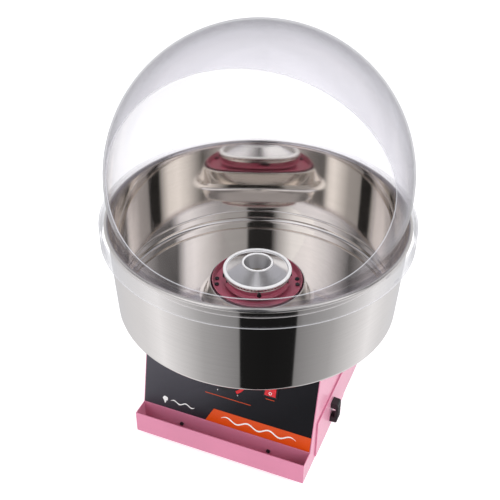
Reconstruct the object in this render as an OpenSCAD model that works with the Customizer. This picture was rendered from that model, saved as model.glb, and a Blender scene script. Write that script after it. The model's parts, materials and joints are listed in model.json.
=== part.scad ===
// Cotton candy machine: steel cabinet, spinning head, deep bowl and clear dome.
// The origin is the middle of the footprint on the bench, +Z is up and the front faces -Y.
// Bowl, head, motor shaft and dome share the vertical axis x = 0, y = 0.

/* [Cabinet] */
// Width of the cabinet and of the front trough
base_w = 324; // [310:1:340]
// Depth of the cabinet, from the panel's foot to the rear cover
base_d = 294; // [286:1:305]
// Height of the cabinet above its feet
base_h = 232; // [230:1:255]
// Height of the rubber feet
foot_h = 12; // [10:1:16]
// Thickness of the cabinet's sheet steel
sheet = 1.5; // [1.2:0.1:2]
// Backward lean of the control panel, in degrees
panel_lean = 11.5; // [9:0.5:13]

/* [Front trough] */
// Height of the open trough
tray_h = 44; // [40:1:55]
// Depth of the trough, front to back
tray_d = 33; // [28:1:45]

/* [Controls] */
// Height of the knob and switches, measured up the leaning panel
control_t = 105; // [100:1:115]
// Distance of each switch from the middle of the panel
switch_x = 79; // [60:1:100]
// Diameter of the heat knob
knob_d = 36; // [30:1:44]
// Height of the orange banner
banner_h = 29; // [20:1:35]

/* [Drawer] */
// Width of the drawer's front
drawer_w = 165; // [140:1:170]
// Height of the drawer's front
drawer_h = 83; // [70:1:90]
// Length of the drawer box into the cabinet
drawer_l = 195; // [170:1:200]
// Place of the drawer's middle, front to back
drawer_y = -37; // [-42:1:-20]

/* [Bowl] */
// Inner radius of the bowl at its rim
rim_r = 249; // [246:0.5:250]
// Outer radius of the bowl at its foot
bowl_foot_r = 244; // [236:0.5:246]
// Height of the bowl
bowl_h = 176; // [160:1:185]
// Thickness of the bowl's sheet
bowl_t = 1.2; // [1:0.1:1.5]
// Height of the rubber pads under the bowl
pad_h = 3; // [2:0.5:5]

/* [Dome] */
// Outer radius of the dome's sphere
dome_r = 251.4; // [248:0.2:255]
// Height of the sphere's centre above the bowl's rim
dome_rise = 69; // [66:0.5:80]
// Thickness of the clear sheet
dome_t = 3; // [2.5:0.5:4]
// Outer radius of the skirt that caps the rim
skirt_r = 265; // [264:0.5:270]
// Turn of the dome's opening to the right, in degrees
dome_turn = 12.5; // [0:0.5:30]
// Distance of the opening's upright edge in front of the axis
opening_y = 97; // [88:1:105]
// Height of the opening's lower edge above the rim
opening_z = 6; // [5:1:20]
// Radius of the opening's lower corner, seen from the side
opening_r = 168; // [140:1:175]

/* [Spinner] */
// Radius of the spinner head's bright rim
head_r = 60.5; // [56:0.5:61]
// Radius of the ring around the sugar funnel
funnel_r = 25.5; // [20:0.5:28]
// Radius of the hub dish's rim
dish_r = 80; // [79:0.5:82]
// Radius of the motor shaft
shaft_r = 6; // [5:0.5:6]

/* [Hidden] */
$fn = 96;

pink = [0.93, 0.50, 0.66];
steel = [0.78, 0.78, 0.80];
dark_steel = [0.45, 0.46, 0.48];
black = [0.07, 0.07, 0.08];
graphite = [0.15, 0.14, 0.18];
copper = [0.75, 0.45, 0.25];

eps = 0.01;
gap = 0.3;                                  // clearance between separate bodies
rest_gap = 0.2;                             // the same where one body rests on another
y_front = -base_d / 2;
y_back = base_d / 2;
z_floor = foot_h;                           // underside of the cabinet
z_fold = z_floor + tray_h;                  // where the panel starts to lean
z_top = z_floor + base_h;                   // top of the cabinet
lean_run = (z_top - z_fold) * tan(panel_lean);
panel_t = (z_top - z_fold) / cos(panel_lean);
flange = 12;                                // inward flanges of the cabinet's sides

screw_r = 2;                                // M4 screws
hole_r = 2.2;
screw_head_r = 3.8;
screw_head_h = 2.4;

foot_x = base_w / 2 - 26;
foot_y = base_d / 2 - 18;
top_screw_x = base_w / 2 - 8;
top_screw_y = [y_front + lean_run + 22, y_back - 20];
rear_screw_z = [z_floor + 30, z_top - 30];
tray_screw_x = 85;
tray_screw_z = z_floor + 17;

bush_xy = 66;
bush_r = 9;
bush_h = 11;
bracket_t = 3;
z_bracket = z_top - sheet - bush_h - bracket_t;
motor_r = 54;
bell_h = 14;
can_h = 78;
z_can = z_bracket - bell_h - can_h;
z_bell = z_can - bell_h;
rotor_r = 30;
bearing_r = 16;
bearing_h = 9;
run = 0.05;                                 // radial clearance of the running fits

z_bowl = z_top + pad_h + rest_gap;
z_rim = z_bowl + bowl_h;
z_seat = z_rim + rest_gap;
bead_r = 2.5;                               // bead inside the wall, near the floor
roll_r = 4;                                 // rolled rim
z_wall_foot = z_bowl + 9;
z_roll = z_rim - roll_r;
z_wall_top = z_roll - roll_r + bowl_t / 2;    // the wall ends inside the roll's sheet
hub_hole_r = dish_r + 2;
z_dome = z_seat + dome_rise;
skirt_h = 33;
dome_clip_angles = [for (a = [-65.5, 65.5, 180]) dome_turn - 90 + a];
sphere_foot_r = sqrt((dome_r - dome_t) * (dome_r - dome_t) - dome_rise * dome_rise);
z_collar = z_bowl + 35;
z_dish = z_top + 33;
dish_wall_h = 9;
pedestal_r = 60;
pedestal_h = z_dish - sheet - z_top;
z_head = z_dish + 3;
z_head_rim = z_dish + 29;
z_cone = z_head_rim + 15;
cup_r = head_r - 2;
slip_r = 20;
slip_z = [z_top + 6, z_top + 16];
head_screw_angles = [25 : 90 : 295];
head_screw_z = z_head + 13;
spindle_r = 4;                              // threaded end of the motor shaft
dish_floor_r = dish_r - 3.5;
dish_screw_angles = [16, 29, 196, 209];
dish_screw_r = dish_floor_r - 5;

overlay_t = 0.8;
bezel_w = 26;
bezel_h = 32;
rocker_w = 20;
rocker_h = 25;
rocker_tilt = 8;
pin_r = 1.3;                                // pivot pins on the rocker's sides
pin_l = 0.9;

drawer_z = z_floor + 7;
cut_w = drawer_w - 12;
cut_h = drawer_h - 10;
box_w = cut_w - 3;
box_h = cut_h - 6;
z_box = drawer_z + 8;
front_t = 2.5;
x_side = base_w / 2;
handle_h = 46;
handle_out = 14;
handle_z = drawer_z + drawer_h / 2;
handle_screw_z = [-17.5, 17.5];
box_t = 1.2;
rail_t = 1.5;

// A point on the cabinet's leaning front line, by height
function lean_y(z) = y_front + max(z - z_fold, 0) * tan(panel_lean);

// Points of an arc in the drawing plane
function arc(cx, cy, r, from, to, steps) =
  [for (i = [0 : steps]) let (a = from + (to - from) * i / steps) [cx + r * cos(a), cy + r * sin(a)]];

// Extrudes an outline drawn in (y, z) across the width
module across(width) {
  translate([-width / 2, 0, 0])
    rotate([90, 0, 90])
      linear_extrude(width)
        children();
}

// Drawing frame on the leaning panel: x across, y up the panel, z out of it
module on_panel(x, t) {
  translate([0, y_front, z_fold])
    rotate([-panel_lean, 0, 0])
      translate([x, 0, t])
        rotate([90, 0, 0])
          children();
}

// Drawing frame on the rear cover: x across, y up, z out of it
module on_rear(x, z) {
  translate([x, y_back, z])
    rotate([-90, 0, 0])
      rotate([0, 0, 180])
        children();
}

module ring(outer, inner, h) {
  difference() {
    cylinder(r = outer, h = h);
    translate([0, 0, -1]) cylinder(r = inner, h = h + 2);
  }
}

// Torus of revolution around Z
module torus(major, minor) {
  rotate_extrude() translate([major, 0]) circle(r = minor, $fn = 32);
}

// Pan head screw with a cross recess: head above z = 0, shank below it
module pan_screw(length) {
  difference() {
    union() {
      cylinder(r = screw_head_r, h = screw_head_h);
      translate([0, 0, -length]) cylinder(r = screw_r, h = length + eps);
    }
    for (a = [0, 90])
      rotate([0, 0, a])
        translate([-2.4, -0.5, screw_head_h - 1.2]) cube([4.8, 1, 2]);
  }
}

module rounded_rect(w, h, r) {
  hull()
    for (x = [-1, 1], y = [-1, 1])
      translate([x * (w / 2 - r), y * (h / 2 - r)]) circle(r = r, $fn = 24);
}

// Four places at plus and minus x and y
module corners(x, y) {
  for (i = [-1, 1], j = [-1, 1])
    translate([i * x, j * y, 0]) children();
}

// ---- Cabinet ----

module side_outline(inset) {
  polygon([
    [y_front + sheet, z_floor + inset],
    [y_back - sheet, z_floor + inset],
    [y_back - sheet, z_top - sheet],
    [lean_y(z_top - sheet) + sheet / cos(panel_lean), z_top - sheet],
    [y_front + sheet, z_fold - sheet * tan(panel_lean / 2)]
  ]);
}

module side_flanges(side) {
  x0 = side > 0 ? x_side - flange : -x_side;
  back_len = base_d - lean_run - 2 * sheet - 4;
  translate([x0, y_back - sheet - back_len, z_top - 2 * sheet])
    cube([flange, back_len, sheet]);
  translate([x0, y_back - 2 * sheet, z_floor])
    cube([flange, sheet, base_h - 2 * sheet]);
  translate([x0, y_front + sheet, z_floor])
    cube([flange, sheet, tray_h - 4]);
}

module chassis() {
  color(pink)
    difference() {
      union() {
        difference() {
          across(base_w) side_outline(0);
          across(base_w - 2 * sheet)
            polygon([
              [y_front - 1, z_floor + sheet],
              [y_back + 1, z_floor + sheet],
              [y_back + 1, z_top + 1],
              [y_front - 1, z_top + 1]
            ]);
        }
        side_flanges(1);
        side_flanges(-1);
        translate([-base_w / 2, y_front + sheet, z_floor]) cube([base_w, sheet, flange + 14]);
      }
      translate([x_side - sheet - 1, drawer_y - cut_w / 2, drawer_z + 5])
        cube([sheet + 2, cut_w, cut_h]);
      for (i = [0 : 7])
        translate([-x_side - 1, -70 + i * 20, z_floor + 130]) cube([sheet + 2, 8, 60]);
      for (i = [0 : 5])
        translate([-90 + i * 32, 60, z_floor - 1]) cube([20, 50, sheet + 2]);
      corners(foot_x, foot_y) translate([0, 0, z_floor - 1]) cylinder(r = 2.7, h = sheet + 2);
      for (x = [-top_screw_x, top_screw_x], y = top_screw_y)
        translate([x, y, z_top - 3 * sheet]) cylinder(r = hole_r, h = 3 * sheet);
      for (x = [-top_screw_x, top_screw_x], z = rear_screw_z)
        on_rear(x, z) translate([0, 0, -10]) cylinder(r = hole_r, h = 12);
      for (x = [-tray_screw_x, tray_screw_x])
        translate([x, y_front - 1, tray_screw_z]) rotate([-90, 0, 0]) cylinder(r = hole_r, h = 8);
    }
}

module top_plate() {
  y0 = lean_y(z_top - sheet);
  color(pink)
    difference() {
      translate([-base_w / 2, y0, z_top - sheet]) cube([base_w, y_back - y0, sheet]);
      translate([0, 0, z_top - 2 * sheet]) cylinder(r = 26, h = 3 * sheet);
      corners(bush_xy, bush_xy) translate([0, 0, z_top - 2 * sheet]) cylinder(r = 3.2, h = 3 * sheet);
      for (x = [-top_screw_x, top_screw_x], y = top_screw_y)
        translate([x, y, z_top - 2 * sheet]) cylinder(r = hole_r, h = 3 * sheet);
    }
}

module fascia_outline() {
  z1 = z_top - sheet;
  polygon([
    [y_front, z_floor],
    [y_front, z_fold],
    [lean_y(z1), z1],
    [lean_y(z1) + sheet / cos(panel_lean), z1],
    [y_front + sheet, z_fold - sheet * tan(panel_lean / 2)],
    [y_front + sheet, z_floor]
  ]);
}

// Openings for the knob's spindle and the two switches
module control_cuts() {
  on_panel(0, control_t) translate([0, 0, -4]) cylinder(r = 4.5, h = 8);
  for (x = [-switch_x, switch_x])
    on_panel(x, control_t) translate([-11.5, -14.6, -4]) cube([23, 29.2, 8]);
}

module front_fascia() {
  color(pink)
    difference() {
      across(base_w) fascia_outline();
      control_cuts();
      for (x = [-tray_screw_x, tray_screw_x])
        translate([x, y_front - 1, tray_screw_z]) rotate([-90, 0, 0]) cylinder(r = hole_r, h = 4);
    }
}

module control_overlay() {
  color(graphite)
    difference() {
      on_panel(0, 0)
        translate([-base_w / 2 + 1.5, 1, 0]) cube([base_w - 3, panel_t - 3, overlay_t]);
      control_cuts();
    }
}

module banner_label() {
  color([0.93, 0.40, 0.08])
    on_panel(0, 0)
      translate([0, 1.2, overlay_t])
        linear_extrude(0.4)
          polygon([[-38, 0], [-23, banner_h], [base_w / 2 - 1.7, banner_h], [base_w / 2 - 1.7, 0]]);
}

// Red arc scale round the knob, widening from its low end to its high end
module dial_scale() {
  from = 240;
  to = -60;
  color([0.85, 0.10, 0.14])
    on_panel(0, control_t)
      translate([0, 0, overlay_t])
        linear_extrude(0.3)
          polygon(concat(
            arc(0, 0, 29, from, to, 30),
            [for (i = [0 : 30])
              let (a = to + (from - to) * i / 30, r = 35 - 4.5 * i / 30) [r * cos(a), r * sin(a)]]
          ));
}

module front_tray() {
  color(pink)
    difference() {
      translate([-base_w / 2, y_front - tray_d, z_floor]) cube([base_w, tray_d, tray_h]);
      translate([-base_w / 2 + sheet, y_front - tray_d + sheet, z_floor + sheet])
        cube([base_w - 2 * sheet, tray_d - 2 * sheet, tray_h]);
      for (x = [-tray_screw_x, tray_screw_x])
        translate([x, y_front - 4, tray_screw_z]) rotate([-90, 0, 0]) cylinder(r = hole_r, h = 8);
    }
}

module tray_screws() {
  color(dark_steel)
    for (x = [-tray_screw_x, tray_screw_x])
      translate([x, y_front - sheet, tray_screw_z]) rotate([90, 0, 0]) pan_screw(10);
}

module rear_cover() {
  color(pink)
    difference() {
      translate([-base_w / 2, y_back - sheet, z_floor]) cube([base_w, sheet, base_h - sheet]);
      for (x = [-60, 60], i = [0 : 6])
        on_rear(x, z_floor + 130 + i * 12) translate([-35, -2.5, -4]) cube([70, 5, 8]);
      for (x = [-top_screw_x, top_screw_x], z = rear_screw_z)
        on_rear(x, z) translate([0, 0, -4]) cylinder(r = hole_r, h = 8);
      on_rear(-95, z_floor + 45) translate([-14, -10.5, -4]) cube([28, 21, 8]);
      for (dx = [-20, 20])
        on_rear(-95 + dx, z_floor + 45) translate([0, 0, -4]) cylinder(r = hole_r, h = 8);
    }
}

module rear_screws() {
  color(steel)
    for (x = [-top_screw_x, top_screw_x], z = rear_screw_z)
      on_rear(x, z) pan_screw(8);
}

module top_screws() {
  color(steel)
    for (x = [-top_screw_x, top_screw_x], y = top_screw_y)
      translate([x, y, z_top]) pan_screw(8);
}

module feet() {
  color(black)
    corners(foot_x, foot_y)
      difference() {
        cylinder(r1 = 12, r2 = 14, h = foot_h);
        translate([0, 0, -1]) cylinder(r = 6, h = 6);
        translate([0, 0, -1]) cylinder(r = 2.7, h = foot_h + 2);
      }
}

module foot_screws() {
  color(steel)
    corners(foot_x, foot_y) {
      translate([0, 0, 2.5]) cylinder(r = 4.5, h = 2.5);
      translate([0, 0, 5 - eps]) cylinder(r = 2.5, h = foot_h);
      translate([0, 0, z_floor + sheet]) cylinder(r = 4.5, h = 4, $fn = 6);
    }
}

// Rubber pads that carry the bowl
module bowl_pads() {
  color(black)
    corners(118, 77) translate([0, 0, z_top]) cylinder(r = 12, h = pad_h);
}

// ---- Hub between the cabinet and the spinner head ----

module hub_pedestal() {
  color(steel)
    difference() {
      union() {
        translate([0, 0, z_top]) cylinder(r = pedestal_r, h = pedestal_h);
        translate([0, 0, z_top]) cylinder(r = pedestal_r + 9, h = 2);
        translate([0, 0, z_top + pedestal_h - 2]) cylinder(r = dish_floor_r - 1, h = 2);
      }
      translate([0, 0, z_top - 1]) cylinder(r = pedestal_r - 2, h = pedestal_h + 2);
      for (a = dish_screw_angles)
        rotate([0, 0, a])
          translate([dish_screw_r, 0, z_top + pedestal_h - 3]) cylinder(r = hole_r, h = 4);
      for (a = [0 : 90 : 270])
        rotate([0, 0, a]) translate([0, 0, z_top + 9]) rotate([0, 90, 0]) cylinder(r = 3, h = 80);
    }
}

// Pink dish round the foot of the spinner head
module hub_dish() {
  z0 = z_dish - sheet;
  lip_z = z0 + dish_wall_h;
  color(pink)
    difference() {
      union() {
        translate([0, 0, z0]) cylinder(r = dish_floor_r, h = sheet);
        rotate_extrude()
          polygon([
            [dish_floor_r - sheet, z0],
            [dish_floor_r, z0],
            [dish_r, lip_z],
            [dish_r, lip_z + 2],
            [dish_r - sheet, lip_z + 2],
            [dish_r - sheet, lip_z],
            [dish_floor_r - sheet, z_dish]
          ]);
      }
      translate([0, 0, z0 - 1]) cylinder(r = shaft_r + 5, h = 6);
      for (a = dish_screw_angles)
        rotate([0, 0, a]) translate([dish_screw_r, 0, z0 - 1]) cylinder(r = hole_r, h = 6);
    }
}

module dish_screws() {
  color(black)
    for (a = dish_screw_angles)
      rotate([0, 0, a])
        translate([dish_screw_r, 0, z_dish]) pan_screw(6);
}

// Insulating holder that carries one brush on each slip ring
module brush_holder() {
  color([0.20, 0.13, 0.08])
    difference() {
      translate([-48, -9, z_top]) cube([22, 18, 24]);
      for (z = slip_z)
        translate([-49, -4.1, z - 0.1]) cube([24, 8.2, 6.2]);
    }
}

module carbon_brushes() {
  color([0.15, 0.15, 0.16])
    for (z = slip_z)
      translate([-38, -4, z]) cube([38 - slip_r - 0.4, 8, 6]);
}

// ---- Motor ----

module motor_bracket() {
  color(dark_steel)
    difference() {
      translate([-78, -78, z_bracket]) cube([156, 156, bracket_t]);
      translate([0, 0, z_bracket - 1]) cylinder(r = 20, h = bracket_t + 2);
      corners(bush_xy, bush_xy) translate([0, 0, z_bracket - 1]) cylinder(r = 3.2, h = bracket_t + 2);
      corners(30, 30) translate([0, 0, z_bracket - 1]) cylinder(r = hole_r, h = bracket_t + 2);
    }
}

module motor_bushes() {
  color(black)
    corners(bush_xy, bush_xy)
      translate([0, 0, z_bracket + bracket_t])
        difference() {
          cylinder(r = bush_r, h = bush_h);
          translate([0, 0, -1]) cylinder(r = 3.2, h = bush_h + 2);
          translate([0, 0, bush_h / 2]) torus(bush_r + 1, 2.5);
        }
}

module bracket_bolts() {
  color(steel)
    corners(bush_xy, bush_xy) {
      translate([0, 0, z_top]) cylinder(r = 5, h = 2.5);
      translate([0, 0, z_bracket - 8]) cylinder(r = 3, h = z_top - z_bracket + 8 + eps);
    }
}

module bracket_nuts() {
  color(steel)
    corners(bush_xy, bush_xy)
      translate([0, 0, z_bracket - 5])
        difference() {
          cylinder(r = 5.8, h = 5, $fn = 6);
          translate([0, 0, -1]) cylinder(r = 3 + run, h = 7);
        }
}

module motor_can() {
  color(dark_steel)
    translate([0, 0, z_can])
      difference() {
        cylinder(r = motor_r, h = can_h);
        translate([0, 0, -1]) cylinder(r = motor_r - 2, h = can_h + 2);
        for (a = [15 : 30 : 345])
          rotate([0, 0, a]) translate([motor_r - 4, -3, 24]) cube([6, 6, 30]);
      }
}

// Laminated ring with twelve winding slots
module motor_stator() {
  color(copper)
    translate([0, 0, z_can + 8])
      difference() {
        cylinder(r = motor_r - 2 - run, h = can_h - 16);
        translate([0, 0, -1]) cylinder(r = rotor_r + 0.6, h = can_h);
        for (a = [0 : 30 : 330])
          rotate([0, 0, a]) translate([rotor_r + 4, 0, -1]) cylinder(r = 3, h = can_h);
      }
}

module motor_end_bells() {
  color(steel) {
    translate([0, 0, z_bracket]) mirror([0, 0, 1]) end_bell();
    translate([0, 0, z_bell]) end_bell();
  }
}

// The bell's outer face closes the can, and its spigot reaches into the can
module end_bell() {
  difference() {
    union() {
      cylinder(r = motor_r, h = bell_h);
      translate([0, 0, bell_h - eps]) cylinder(r = motor_r - 2 - run, h = 5);
    }
    translate([0, 0, 4]) cylinder(r = motor_r - 8, h = bell_h + 4);
    translate([0, 0, -1]) cylinder(r = shaft_r + 2, h = bell_h);
    for (a = [45 : 90 : 315])
      rotate([0, 0, a]) translate([30 * sqrt(2), 0, -1]) cylinder(r = hole_r, h = bell_h);
  }
  difference() {
    translate([0, 0, 4 - eps]) cylinder(r = bearing_r + 4, h = bell_h - 2);
    translate([0, 0, -1]) cylinder(r = shaft_r + 2, h = bell_h + 4);
    translate([0, 0, bell_h + 2 - bearing_h]) cylinder(r = bearing_r + run, h = bearing_h + 1);
  }
}

module motor_screws() {
  color(steel)
    corners(30, 30) translate([0, 0, z_bracket + bracket_t]) pan_screw(7);
}

module ball_bearing() {
  difference() {
    cylinder(r = bearing_r, h = bearing_h);
    translate([0, 0, -1]) cylinder(r = shaft_r + run, h = bearing_h + 2);
    translate([0, 0, -eps]) ring(bearing_r - 3, shaft_r + 3, 1);
    translate([0, 0, bearing_h - 1 + eps]) ring(bearing_r - 3, shaft_r + 3, 1);
  }
}

module shaft_bearings() {
  color(steel) {
    translate([0, 0, z_bell + bell_h + 2 - bearing_h]) ball_bearing();
    translate([0, 0, z_bracket - bell_h - 2]) ball_bearing();
  }
}

module motor_shaft() {
  color(steel) {
    translate([0, 0, z_bell - 14]) cylinder(r = shaft_r, h = z_head - z_bell + 14);
    translate([0, 0, z_head - eps]) cylinder(r = spindle_r, h = 12);
  }
}

module motor_rotor() {
  color(dark_steel)
    translate([0, 0, z_can + 10])
      difference() {
        cylinder(r = rotor_r, h = can_h - 20);
        translate([0, 0, -1]) cylinder(r = shaft_r, h = can_h);
        for (a = [0 : 20 : 340])
          rotate([0, 0, a]) translate([rotor_r - 0.5, 0, -1]) cylinder(r = 1.2, h = can_h);
      }
}

// Six-blade fan on the shaft's lower end, which cools the motor
module cooling_fan() {
  color(black)
    translate([0, 0, z_bell - 13]) {
      ring(12, shaft_r, 11);
      for (a = [0 : 60 : 300])
        rotate([0, 0, a])
          translate([10, 0, 5.5]) rotate([35, 0, 0]) translate([0, -7, -0.8]) cube([32, 14, 1.6]);
    }
}

module slip_ring_hub() {
  color([0.25, 0.16, 0.10])
    difference() {
      translate([0, 0, z_top + 3]) cylinder(r = slip_r - 2, h = 22);
      translate([0, 0, z_top + 2]) cylinder(r = shaft_r, h = 24);
    }
}

module slip_rings() {
  color([0.85, 0.65, 0.25])
    for (z = slip_z)
      translate([0, 0, z]) ring(slip_r, slip_r - 2, 6);
}

// ---- Spinner head ----

module head_cup() {
  h = z_head_rim - z_head - 7;
  color(steel)
    difference() {
      rotate_extrude()
        polygon(concat(
          [[0, z_head]],
          arc(cup_r - 4, z_head + 4, 4, -90, 0, 4),
          [[cup_r, z_head + h], [cup_r - 1.5, z_head + h], [cup_r - 1.5, z_head + 3], [0, z_head + 3]]
        ));
      translate([0, 0, z_head - 1]) cylinder(r = spindle_r + run, h = 6);
      for (a = head_screw_angles)
        rotate([0, 0, a]) translate([cup_r - 4, 0, head_screw_z]) rotate([0, 90, 0]) cylinder(r = hole_r, h = 6);
      for (a = [0 : 15 : 345])
        rotate([0, 0, a + 7]) translate([44, 0, z_head - 1]) cylinder(r = 2, h = 6);
    }
}

// Flat ribbon heater that melts the sugar against the mesh
module heater_ring() {
  color([0.55, 0.25, 0.15]) {
    translate([0, 0, z_head + 8]) ring(cup_r - 5, cup_r - 6.5, 12);
    for (a = [30 : 60 : 330])
      rotate([0, 0, a]) translate([cup_r - 13, -2, z_head + 3]) cube([7, 4, 8]);
  }
}

// Slotted band between the cup and the rim, where the floss leaves
module mesh_band() {
  z0 = z_head_rim - 7;
  color(dark_steel)
    difference() {
      translate([0, 0, z0]) ring(cup_r - 0.8, cup_r - 2.2, 5);
      for (a = [0 : 6 : 354])
        rotate([0, 0, a]) translate([cup_r - 4, -1, z0 + 0.8]) cube([4, 2, 3.4]);
    }
}

module head_rim() {
  color(steel)
    rotate_extrude()
      polygon(concat(
        arc(head_r - 2, z_head_rim, 2, -90, 90, 6),
        [[head_r - 6, z_head_rim + 2.4], [head_r - 6, z_head_rim - 2]]
      ));
}

module head_cone() {
  color(steel)
    rotate_extrude()
      polygon([
        [head_r - 6, z_head_rim - 1],
        [head_r - 6, z_head_rim + 0.6],
        [funnel_r + 2, z_cone - 0.6],
        [funnel_r + 2, z_cone - 2.4]
      ]);
}

// Funnel with a rolled lip, which feeds the sugar down into the cup
module sugar_funnel() {
  color(steel)
    rotate_extrude()
      polygon(concat(
        [[funnel_r + 2, z_cone - 2.4]],
        arc(funnel_r, z_cone - 1, 2, 0, 180, 8),
        [[funnel_r - 2, z_cone - 3], [14, z_head + 16], [14, z_head + 8], [15.2, z_head + 8],
         [15.2, z_head + 15.6], [funnel_r - 0.8, z_cone - 3.6]]
      ));
}

// Screws through the cup's wall, which hold the heater's bracket inside
module head_screws() {
  color(dark_steel)
    for (a = head_screw_angles)
      rotate([0, 0, a])
        translate([cup_r, 0, head_screw_z]) rotate([0, 90, 0]) pan_screw(3.5);
}

// Nut that clamps the head on the end of the motor shaft
module drive_nut() {
  color([0.80, 0.62, 0.25])
    translate([0, 0, z_head + 3])
      difference() {
        cylinder(r = 9, h = 7, $fn = 6);
        translate([0, 0, -1]) cylinder(r = spindle_r + run, h = 9);
      }
}

// ---- Controls ----

module switch_bezels() {
  color(black)
    for (x = [-switch_x, switch_x])
      on_panel(x, control_t)
        difference() {
          union() {
            translate([-bezel_w / 2, -bezel_h / 2, overlay_t]) cube([bezel_w, bezel_h, 2]);
            translate([-11.4, -14.5, -22]) cube([22.8, 29, 22 + overlay_t + eps]);
          }
          translate([-rocker_w / 2 - gap, -rocker_h / 2 - 1, -12])
            cube([rocker_w + 2 * gap, rocker_h + 2, 20]);
          translate([-rocker_w / 2 - pin_l - gap, 0, 0])
            rotate([0, 90, 0]) cylinder(r = pin_r + run, h = rocker_w + 2 * (pin_l + gap));
        }
}

// Rocker that tips about its own middle, drawn at rest with its lower half pressed
module rocker(x) {
  half = rocker_h / 2;
  on_panel(x, control_t)
    rotate([rocker_tilt, 0, 0])
      rotate([90, 0, 90]) {
        translate([0, 0, -rocker_w / 2])
          linear_extrude(rocker_w)
            polygon([
              [-half, -4], [half, -4], [half, 5.5], [half - 0.6, 6], [0, 3.2], [-half + 0.6, 6], [-half, 5.5]
            ]);
        translate([0, 0, -rocker_w / 2 - pin_l]) cylinder(r = pin_r, h = rocker_w + 2 * pin_l);
      }
}

module power_rocker() {
  color([0.90, 0.12, 0.14]) rocker(switch_x);
}

module heat_rocker() {
  color([0.90, 0.12, 0.14]) rocker(-switch_x);
}

module heat_knob() {
  color(black)
    on_panel(0, control_t)
      difference() {
        union() {
          translate([0, 0, overlay_t + gap + 0.2]) cylinder(r = knob_d / 2 + 3, h = 2.5);
          translate([0, 0, overlay_t + gap + 0.2]) cylinder(r = knob_d / 2, h = 18);
          translate([0, 0, -3]) cylinder(r = 3, h = 10);
        }
        for (a = [0 : 15 : 345])
          rotate([0, 0, a]) translate([knob_d / 2 + 1, 0, 4.5]) cylinder(r = 1.9, h = 20);
        translate([-0.8, 4, overlay_t + 17.9]) cube([1.6, knob_d / 2, 3]);
      }
}

// Power controller behind the panel: a cylinder body on a square plate
module heat_control() {
  color([0.35, 0.36, 0.38])
    on_panel(0, control_t)
      difference() {
        union() {
          translate([-16, -16, -sheet - 5]) cube([32, 32, 5]);
          translate([0, 0, -sheet - 30]) cylinder(r = 14, h = 26);
        }
        translate([0, 0, -5 - sheet + 1]) cylinder(r = 3 + run, h = 8);
      }
}

module control_board() {
  x0 = -x_side + 16;
  color([0.10, 0.35, 0.18])
    difference() {
      union() {
        translate([x0, -50, z_floor + 120]) cube([1.6, 100, 80]);
        translate([x0 + 1.6 - eps, -40, z_floor + 130]) cube([22, 18, 60]);
        translate([x0 + 1.6 - eps, 5, z_floor + 132]) cube([14, 26, 16]);
      }
      for (y = [-44, 44], z = [z_floor + 125, z_floor + 195])
        translate([x0 - 1, y, z]) rotate([0, 90, 0]) cylinder(r = 1.6, h = 4);
    }
}

module board_posts() {
  color(steel)
    for (y = [-44, 44], z = [z_floor + 125, z_floor + 195])
      translate([-x_side + sheet, y, z]) rotate([0, 90, 0]) {
        cylinder(r = 3, h = 16 - sheet, $fn = 6);
        cylinder(r = 1.5, h = 20);
      }
}

// Appliance inlet with three blades in a deep socket
module power_inlet() {
  color(black)
    on_rear(-95, z_floor + 45)
      difference() {
        union() {
          linear_extrude(3) rounded_rect(50, 23, 4);
          translate([-13.8, -10.3, -18]) cube([27.6, 20.6, 18 + eps]);
          for (x = [-7, 0, 7])
            translate([x - 1, -1.5, -26]) cube([2, 3, 9]);
        }
        for (dx = [-20, 20])
          translate([dx, 0, -1]) cylinder(r = hole_r, h = 6);
        difference() {
          translate([-12, -8, -14]) cube([24, 16, 20]);
          for (x = [-7, 0, 7])
            translate([x - 1, -2, -15]) cube([2, 4, 15]);
        }
      }
}

module inlet_screws() {
  color(steel)
    for (dx = [-20, 20])
      on_rear(-95 + dx, z_floor + 45) translate([0, 0, 3]) pan_screw(8);
}

// ---- Drawer ----

module drawer_box() {
  color(steel)
    difference() {
      translate([x_side + gap - drawer_l, drawer_y - box_w / 2, z_box]) cube([drawer_l, box_w, box_h]);
      translate([x_side + gap - drawer_l + box_t, drawer_y - box_w / 2 + box_t, z_box + box_t])
        cube([drawer_l - 2 * box_t, box_w - 2 * box_t, box_h]);
      for (dz = handle_screw_z)
        translate([x_side - 4, drawer_y, handle_z + dz]) rotate([0, 90, 0]) cylinder(r = hole_r, h = 8);
    }
}

module drawer_front() {
  color(pink)
    difference() {
      translate([x_side + gap, drawer_y - drawer_w / 2, drawer_z]) cube([front_t, drawer_w, drawer_h]);
      for (dz = handle_screw_z)
        translate([x_side - 1, drawer_y, handle_z + dz]) rotate([0, 90, 0]) cylinder(r = hole_r, h = 8);
    }
}

// Bow handle with a tapered grip
module drawer_handle() {
  x0 = x_side + gap + front_t;
  half = handle_h / 2;
  color(black)
    difference() {
      translate([x0, drawer_y + 9, handle_z])
        rotate([90, 0, 0])
          linear_extrude(18)
            difference() {
              polygon(concat(
                [[0, -half]],
                arc(handle_out - 6, -half + 6, 6, -60, 0, 4),
                arc(handle_out - 6, half - 6, 6, 0, 60, 4),
                [[0, half]]
              ));
              polygon([
                [-1, -half + 11], [handle_out - 4.5, -half + 13],
                [handle_out - 4.5, half - 13], [-1, half - 11]
              ]);
            }
      for (dz = handle_screw_z)
        translate([x0 - 1, drawer_y, handle_z + dz])
          rotate([0, 90, 0]) cylinder(r = screw_r + run, h = 6);
    }
}

module handle_screws() {
  color(steel)
    for (dz = handle_screw_z)
      translate([x_side + gap - box_t, drawer_y, handle_z + dz]) rotate([0, -90, 0]) pan_screw(8);
}

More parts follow.
